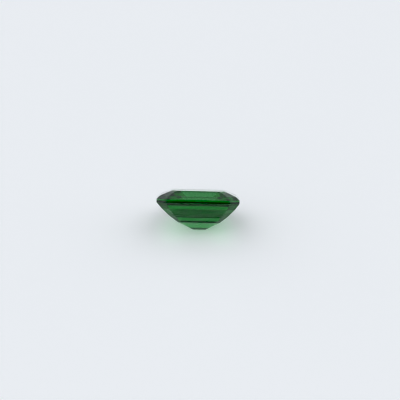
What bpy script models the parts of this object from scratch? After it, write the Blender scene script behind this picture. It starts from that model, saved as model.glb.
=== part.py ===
# A step-cut octagonal garnet, cut from a block one flat facet at a time, lying on one facet of its underside.
# X runs along the stone's length, -Y is the side with the keel on the surface, Z is up.

import math
from collections import namedtuple

import bmesh
import bpy
from mathutils import Matrix, Vector

MM = 0.001

# The octagon at the girdle, the widest level of the stone
LENGTH = 6.60 * MM
WIDTH = 5.635 * MM
GIRDLE_CORNER = 0.76 * MM  # what each cut corner takes off a side
GIRDLE_THICKNESS = 0.285 * MM

# A row of facets goes from one level to the next one in. It is given by how far it comes in at the two ends
# and at the two long sides, how far it rises, what the cut corners take off a side at its inner edge, and how
# far that edge's middle lies off the stone's middle towards +Y
Row = namedtuple("Row", "ends sides rise corner shift", defaults=(0.0,))

# From the girdle up to the table
CROWN_ROWS = (
    Row(ends=0.290 * MM, sides=0.325 * MM, rise=0.250 * MM, corner=0.675 * MM),
    Row(ends=0.490 * MM, sides=0.470 * MM, rise=0.215 * MM, corner=0.540 * MM),
    Row(ends=0.485 * MM, sides=0.450 * MM, rise=0.180 * MM, corner=0.400 * MM),
)

# From the girdle down, where the row after these runs on to the keel
PAVILION_ROWS = (
    Row(ends=0.390 * MM, sides=0.240 * MM, rise=-0.485 * MM, corner=0.640 * MM, shift=-0.105 * MM),
    Row(ends=0.595 * MM, sides=0.515 * MM, rise=-0.590 * MM, corner=0.460 * MM, shift=-0.105 * MM),
    Row(ends=0.660 * MM, sides=0.530 * MM, rise=-0.515 * MM, corner=0.270 * MM, shift=-0.095 * MM),
)
KEEL_DROP = 0.645 * MM
KEEL_LENGTH = 0.980 * MM
KEEL_OFFSET = 0.135 * MM  # towards +X, the cutter has left it that far off the middle

FACETS_AROUND = 8
SNAP = 1e-7  # corners this close to a cut count as on it

GARNET_GREEN = (0.012, 0.200, 0.038, 1.0)
GARNET_IOR = 1.74


class Level:
    """An octagon that a row of facets starts from or ends at."""

    def __init__(self, half_length, half_width, corner, height):
        self.half_length = half_length
        self.half_width = half_width
        self.corner = corner
        self.height = height
        self.middle = Vector((0.0, 0.0, 0.0))  # how far it lies off the stone's middle

    def step(self, row):
        """The level at the inner edge of a row of facets."""
        half_length = self.half_length - row.ends
        half_width = self.half_width - row.sides
        level = Level(half_length, half_width, row.corner, self.height + row.rise)
        level.middle.y = row.shift
        return level

    def reach(self, turn):
        """How far out the octagon's edge lies in one of the eight directions, counted from +X."""
        if turn % 4 == 0:
            plain = self.half_length
        elif turn % 4 == 2:
            plain = self.half_width
        else:
            plain = (self.half_length + self.half_width - self.corner) * math.sqrt(0.5)
        return plain + self.middle.dot(direction(turn))


def direction(turn):
    """The level direction that a facet faces, counted in eighths of a turn from +X."""
    angle = turn * math.tau / FACETS_AROUND
    return Vector((math.cos(angle), math.sin(angle), 0.0))


def cut(stone, point, normal):
    """Grind one flat facet: what lies past the plane goes, and the cut is closed with one face."""
    parts = stone.verts[:] + stone.edges[:] + stone.faces[:]
    made = bmesh.ops.bisect_plane(stone, geom=parts, dist=SNAP, plane_co=point, plane_no=normal, clear_outer=True)
    rim = [part for part in made["geom_cut"] if isinstance(part, bmesh.types.BMEdge)]
    bmesh.ops.holes_fill(stone, edges=rim, sides=0)


def cut_row(stone, outer, inner):
    """Cut the eight facets that run from one level to the next one in."""
    for turn in range(FACETS_AROUND):
        run = outer.reach(turn) - inner.reach(turn)
        rise = inner.height - outer.height
        normal = direction(turn) * abs(rise) + Vector((0.0, 0.0, math.copysign(run, rise)))
        point = direction(turn) * outer.reach(turn) + Vector((0.0, 0.0, outer.height))
        cut(stone, point, normal.normalized())


def cut_girdle(stone, level):
    """Cut the eight upright facets of the stone's outline."""
    for turn in range(FACETS_AROUND):
        cut(stone, direction(turn) * level.reach(turn), direction(turn))


def crown_levels(girdle_top):
    """The levels from the top of the girdle up to the table."""
    levels = [girdle_top]
    for row in CROWN_ROWS:
        levels.append(levels[-1].step(row))
    return levels


def pavilion_levels(girdle_foot):
    """The levels from the foot of the girdle down to the keel, each further off the middle than the last."""
    levels = [girdle_foot]
    for row in PAVILION_ROWS:
        levels.append(levels[-1].step(row))
    keel = Level(KEEL_LENGTH / 2, 0.0, 0.0, levels[-1].height - KEEL_DROP)
    levels.append(keel)
    for level in levels:
        level.middle.x = KEEL_OFFSET * level.height / keel.height
    return levels


def garnet_material():
    """Clear green crystal, polished."""
    material = bpy.data.materials.new("garnet_green")
    material.use_nodes = True
    shader = material.node_tree.nodes["Principled BSDF"]
    shader.inputs["Base Color"].default_value = GARNET_GREEN
    shader.inputs["Roughness"].default_value = 0.02
    shader.inputs["Metallic"].default_value = 0.0
    shader.inputs["IOR"].default_value = GARNET_IOR
    shader.inputs["Transmission Weight"].default_value = 1.0
    material.diffuse_color = GARNET_GREEN
    return material


def cut_stone():
    """The whole stone as a mesh, table up, with the foot of the girdle at height zero."""
    girdle_foot = Level(LENGTH / 2, WIDTH / 2, GIRDLE_CORNER, 0.0)
    girdle_top = Level(LENGTH / 2, WIDTH / 2, GIRDLE_CORNER, GIRDLE_THICKNESS)
    crown = crown_levels(girdle_top)
    pavilion = pavilion_levels(girdle_foot)

    table_height = crown[-1].height
    keel_height = pavilion[-1].height
    block = Vector((LENGTH, WIDTH, table_height - keel_height))
    middle = Vector((0.0, 0.0, (table_height + keel_height) / 2))
    stone = bmesh.new()
    bmesh.ops.create_cube(stone, size=1.0, matrix=Matrix.Translation(middle) @ Matrix.Diagonal(block).to_4x4())

    cut_girdle(stone, girdle_foot)
    for levels in (crown, pavilion):
        for outer, inner in zip(levels, levels[1:]):
            cut_row(stone, outer, inner)
    bmesh.ops.remove_doubles(stone, verts=stone.verts[:], dist=SNAP)
    bmesh.ops.recalc_face_normals(stone, faces=stone.faces[:])

    mesh = bpy.data.meshes.new("garnet")
    stone.to_mesh(mesh)
    stone.free()
    return mesh


def lay_down(stone):
    """Lean the stone back until its rear lowest facet is on the surface, centred over the origin."""
    last_run = WIDTH / 2 - sum(row.sides for row in PAVILION_ROWS) + PAVILION_ROWS[-1].shift
    stone.rotation_euler = (-math.atan2(KEEL_DROP, last_run), 0.0, 0.0)
    corners = [stone.rotation_euler.to_matrix() @ vertex.co for vertex in stone.data.vertices]
    front = min(corner.y for corner in corners)
    back = max(corner.y for corner in corners)
    stone.location = (0.0, -(front + back) / 2, -min(corner.z for corner in corners))


def main():
    for item in list(bpy.data.objects):
        bpy.data.objects.remove(item, do_unlink=True)
    stone = bpy.data.objects.new("garnet", cut_stone())
    stone.data.materials.append(garnet_material())
    bpy.context.collection.objects.link(stone)
    lay_down(stone)


main()
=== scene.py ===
import math

import bmesh
import bpy
from mathutils import Matrix, Vector


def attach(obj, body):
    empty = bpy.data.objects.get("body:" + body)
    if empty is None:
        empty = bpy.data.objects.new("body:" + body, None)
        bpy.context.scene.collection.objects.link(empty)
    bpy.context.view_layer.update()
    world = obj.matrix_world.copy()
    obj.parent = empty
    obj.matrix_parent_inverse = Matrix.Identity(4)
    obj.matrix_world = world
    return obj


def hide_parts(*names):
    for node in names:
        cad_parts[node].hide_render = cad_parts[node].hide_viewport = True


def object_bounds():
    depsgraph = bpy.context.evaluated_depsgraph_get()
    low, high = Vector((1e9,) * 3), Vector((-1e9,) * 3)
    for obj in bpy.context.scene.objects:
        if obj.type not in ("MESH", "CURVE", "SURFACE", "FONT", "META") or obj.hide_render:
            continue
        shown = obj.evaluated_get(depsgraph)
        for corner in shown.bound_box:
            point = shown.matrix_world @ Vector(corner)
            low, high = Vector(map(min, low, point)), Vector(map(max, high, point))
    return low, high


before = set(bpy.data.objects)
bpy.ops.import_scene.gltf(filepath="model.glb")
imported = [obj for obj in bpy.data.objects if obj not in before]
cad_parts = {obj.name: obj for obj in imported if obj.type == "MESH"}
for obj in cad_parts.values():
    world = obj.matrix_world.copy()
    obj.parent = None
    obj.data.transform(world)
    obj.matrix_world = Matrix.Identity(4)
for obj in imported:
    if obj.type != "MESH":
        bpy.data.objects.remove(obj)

# A loose green garnet, cut as a stepped octagon, lying on a white surface.
# Lengths are in metres. X runs along the stone, -Y is the camera's side, Z is up.

mm = 0.001
cadBox = [list(corner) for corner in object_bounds()]
lowCorner, highCorner = (Vector(corner) for corner in cadBox)
stoneMiddle = (lowCorner + highCorner) / 2
print("frame loaded, stone is", [round(side / mm, 2) for side in highCorner - lowCorner], "mm")


def linearColour(hexColour):
    # sRGB hex to the linear values that shaders take
    parts = [int(hexColour[i:i + 2], 16) / 255 for i in (1, 3, 5)]
    return [p / 12.92 if p <= 0.04045 else ((p + 0.055) / 1.055) ** 2.4 for p in parts] + [1.0]


def addNode(tree, kind, values=None):
    # a key is a socket's name or number, or a setting of the node. A value is plain, or an output to link
    node = tree.nodes.new(kind)
    for name, value in (values or {}).items():
        if isinstance(name, str) and name not in node.inputs.keys():
            setattr(node, name, value)
        elif isinstance(value, bpy.types.NodeSocket):
            tree.links.new(value, node.inputs[name])
        else:
            node.inputs[name].default_value = value
    return node


def addObject(name, data):
    placed = bpy.data.objects.new(name, data)
    bpy.context.scene.collection.objects.link(placed)
    return placed


# camera
cameraView = {
    "elevation": math.radians(27.16),  # looks down this far
    "turn": math.radians(0.14),  # round the stone, to its right
    "roll": math.radians(1.28),
    "distance": 300 * mm,
    "fieldWidth": 32 * mm,  # what the picture takes in at the stone
    "sensor": 36.0,
    "aimRight": 0.150 * mm,  # the picture's middle, from the stone's middle
    "aimUp": 0.370 * mm,
    "nearest": 10 * mm,
    "farthest": 10000 * mm,
}


def addCamera(view):
    level = math.cos(view["elevation"])
    back = Vector((
        math.sin(view["turn"]) * level,
        -math.cos(view["turn"]) * level,
        math.sin(view["elevation"]),
    ))
    upright = (-back).to_track_quat("-Z", "Y").to_matrix()
    right, up = upright.col[0], upright.col[1]
    aim = stoneMiddle + right * view["aimRight"] + up * view["aimUp"]
    data = bpy.data.cameras.new("camera")
    data.sensor_width = view["sensor"]
    data.lens = view["sensor"] * view["distance"] / view["fieldWidth"]
    data.clip_start = view["nearest"]
    data.clip_end = view["farthest"]
    camera = addObject("camera", data)
    rolled = upright @ Matrix.Rotation(view["roll"], 3, "Z")
    camera.matrix_world = Matrix.Translation(aim + back * view["distance"]) @ rolled.to_4x4()
    bpy.context.scene.camera = camera


addCamera(cameraView)
print("camera placed")

# the stone
polish = {
    "weld": 0.0005 * mm,  # corners this close are one
    "flat": math.radians(0.2),  # triangles that turn less than this are one facet
    "junction": 0.03 * mm,  # how wide the polish rounds each facet junction
    "steps": 2,  # faces across a junction
    "ior": 1.74,
    "bodyColour": "#54d98e",
    "density": 1000.0,  # absorption per metre
    "lineLength": 4.0 * mm,
    "lineWidth": 0.09 * mm,
    "lineDepth": 0.00012 * mm,
}


def garnetMaterial(finish):
    # Tsavorite, a green grossular garnet, cut and then polished flat on a spinning lap, facet by facet.
    # The eye sees hard clean bands of green, and sharp reflections with a faint drag along the lap's turn.
    # The lap's real lines are under a micron wide. They are far wider here, or nothing of them would show.
    material = bpy.data.materials.new("tsavorite_polished")
    material.use_nodes = True
    tree = material.node_tree
    shader = tree.nodes["Principled BSDF"]
    shader.inputs["Base Color"].default_value = (1, 1, 1, 1)
    shader.inputs["Roughness"].default_value = 0.0
    shader.inputs["IOR"].default_value = finish["ior"]
    shader.inputs["Transmission Weight"].default_value = 1.0
    place = addNode(tree, "ShaderNodeTexCoord")
    stretched = addNode(tree, "ShaderNodeMapping", {
        "Vector": place.outputs["Object"],
        "Scale": (1 / finish["lineLength"], 1 / finish["lineWidth"], 1 / finish["lineWidth"]),
    })
    lines = addNode(tree, "ShaderNodeTexNoise", {
        "Vector": stretched.outputs["Vector"],
        "Scale": 1.0,
        "Detail": 2.0,
        "Roughness": 0.6,
    })
    drag = addNode(tree, "ShaderNodeBump", {
        "Height": lines.outputs["Fac"],
        "Strength": 1.0,
        "Distance": finish["lineDepth"],
    })
    tree.links.new(drag.outputs["Normal"], shader.inputs["Normal"])
    body = addNode(tree, "ShaderNodeVolumeAbsorption", {
        "Color": linearColour(finish["bodyColour"]),
        "Density": finish["density"],
    })
    tree.links.new(body.outputs["Volume"], tree.nodes["Material Output"].inputs["Volume"])
    return material


def polishedStone(finish):
    shape = bmesh.new()
    shape.from_mesh(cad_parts["garnet"].data)
    bmesh.ops.remove_doubles(shape, verts=shape.verts[:], dist=finish["weld"])
    bmesh.ops.dissolve_limit(shape, angle_limit=finish["flat"],
                             verts=shape.verts[:], edges=shape.edges[:])
    print("facets:", len(shape.faces))
    bmesh.ops.bevel(shape, geom=shape.edges[:], offset=finish["junction"] / 2, offset_type="OFFSET",
                    affect="EDGES", segments=finish["steps"], profile=0.5, material=-1)
    bmesh.ops.recalc_face_normals(shape, faces=shape.faces[:])
    mesh = bpy.data.meshes.new("cut_garnet")
    shape.to_mesh(mesh)
    shape.free()
    mesh.materials.append(garnetMaterial(finish))
    return addObject("cut_garnet", mesh)


stone = polishedStone(polish)
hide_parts("garnet")
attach(stone, "root")
print("stone cut and polished:", len(stone.data.polygons), "faces")

# the surface it lies on, with a faint even glow of its own: painted light that lightens the shade around and
# under the stone
board = {
    "size": 1.2,
    "colour": "#e9e9e9",
    "roughness": 0.6,
    "glowColour": "#f6faff",
    "glow": 0.19,
}


def addBoard(settings):
    shape = bmesh.new()
    bmesh.ops.create_grid(shape, x_segments=1, y_segments=1, size=settings["size"] / 2)
    mesh = bpy.data.meshes.new("board")
    shape.to_mesh(mesh)
    shape.free()
    # Opal acrylic sheet, cast and given a satin face. The eye sees an even white with nothing mirrored in it.
    material = bpy.data.materials.new("white_board")
    material.use_nodes = True
    shader = material.node_tree.nodes["Principled BSDF"]
    shader.inputs["Base Color"].default_value = linearColour(settings["colour"])
    shader.inputs["Roughness"].default_value = settings["roughness"]
    # the glow is painted light: it lifts the board's shadows, and the light that reaches the stone from below
    shader.inputs["Emission Color"].default_value = linearColour(settings["glowColour"])
    shader.inputs["Emission Strength"].default_value = settings["glow"]
    mesh.materials.append(material)
    addObject("board", mesh)


addBoard(board)
print("board laid")

# a white light tent, brightest low down, dimmer at the back and behind the camera
# Two small dark spots at the back, one low and one high, give the stone its darkest bands
tent = {
    "colour": "#f6faff",
    "horizon": 1.45,
    "zenith": 0.8,
    # azimuth is counted from the back towards the right, and all angles are in degrees
    "patches": [
        {"azimuth": 3, "elevation": 17, "radius": 24.5, "edge": 8.6, "light": 0.59},
        {"azimuth": -1, "elevation": 13, "radius": 5.5, "edge": 5.5, "light": 0.0},
        {"azimuth": 0, "elevation": 70, "radius": 10, "edge": 1.5, "light": 0.0},
        {"azimuth": 149, "elevation": 19, "radius": 36.8, "edge": 12.1, "light": 0.41},
    ],
}


def addPatch(tree, direction, light, patch):
    # a round patch with its own brightness, faded in across its edge
    azimuth, elevation = math.radians(patch["azimuth"]), math.radians(patch["elevation"])
    level = math.cos(elevation)
    facing = addNode(tree, "ShaderNodeVectorMath", {
        "operation": "DOT_PRODUCT",
        0: direction,
        1: (level * math.sin(azimuth), level * math.cos(azimuth), math.sin(elevation)),
    })
    inside = addNode(tree, "ShaderNodeMapRange", {
        "interpolation_type": "SMOOTHSTEP",
        "Value": facing.outputs["Value"],
        "From Min": math.cos(math.radians(patch["radius"] + patch["edge"])),
        "From Max": math.cos(math.radians(max(patch["radius"] - patch["edge"], 0))),
    })
    mixed = addNode(tree, "ShaderNodeMix", {
        "data_type": "FLOAT",
        "Factor": inside.outputs["Result"],
        "A": light,
        "B": patch["light"],
    })
    return mixed.outputs["Result"]


def addTent(settings):
    world = bpy.data.worlds.new("tent")
    bpy.context.scene.world = world
    world.use_nodes = True
    tree = world.node_tree
    direction = addNode(tree, "ShaderNodeTexCoord").outputs["Generated"]
    height = addNode(tree, "ShaderNodeSeparateXYZ", {0: direction})
    light = addNode(tree, "ShaderNodeMapRange", {
        "Value": height.outputs["Z"],
        "To Min": settings["horizon"],
        "To Max": settings["zenith"],
    }).outputs["Result"]
    for patch in settings["patches"]:
        light = addPatch(tree, direction, light, patch)
    background = tree.nodes["Background"]
    background.inputs["Color"].default_value = linearColour(settings["colour"])
    tree.links.new(light, background.inputs["Strength"])


addTent(tent)
print("tent lit")

# the photo's darkest greens are black
blackLevel = 0.042
tones = bpy.context.scene.view_settings
tones.view_transform = "Standard"
tones.use_curve_mapping = True
tones.curve_mapping.black_level = (blackLevel, blackLevel, blackLevel)
tones.curve_mapping.update()

# light goes many times round inside a cut stone, and comes out to colour the board
cycles = bpy.context.scene.cycles
cycles.max_bounces = 32
cycles.transmission_bounces = 32
cycles.glossy_bounces = 16
cycles.diffuse_bounces = 4
cycles.volume_bounces = 0
cycles.caustics_refractive = True
cycles.caustics_reflective = True
cycles.blur_glossy = 0.0
cycles.sample_clamp_indirect = 10.0
cycles.filter_width = 1.0  # the photo is sharp, and its lines are a pixel or two wide
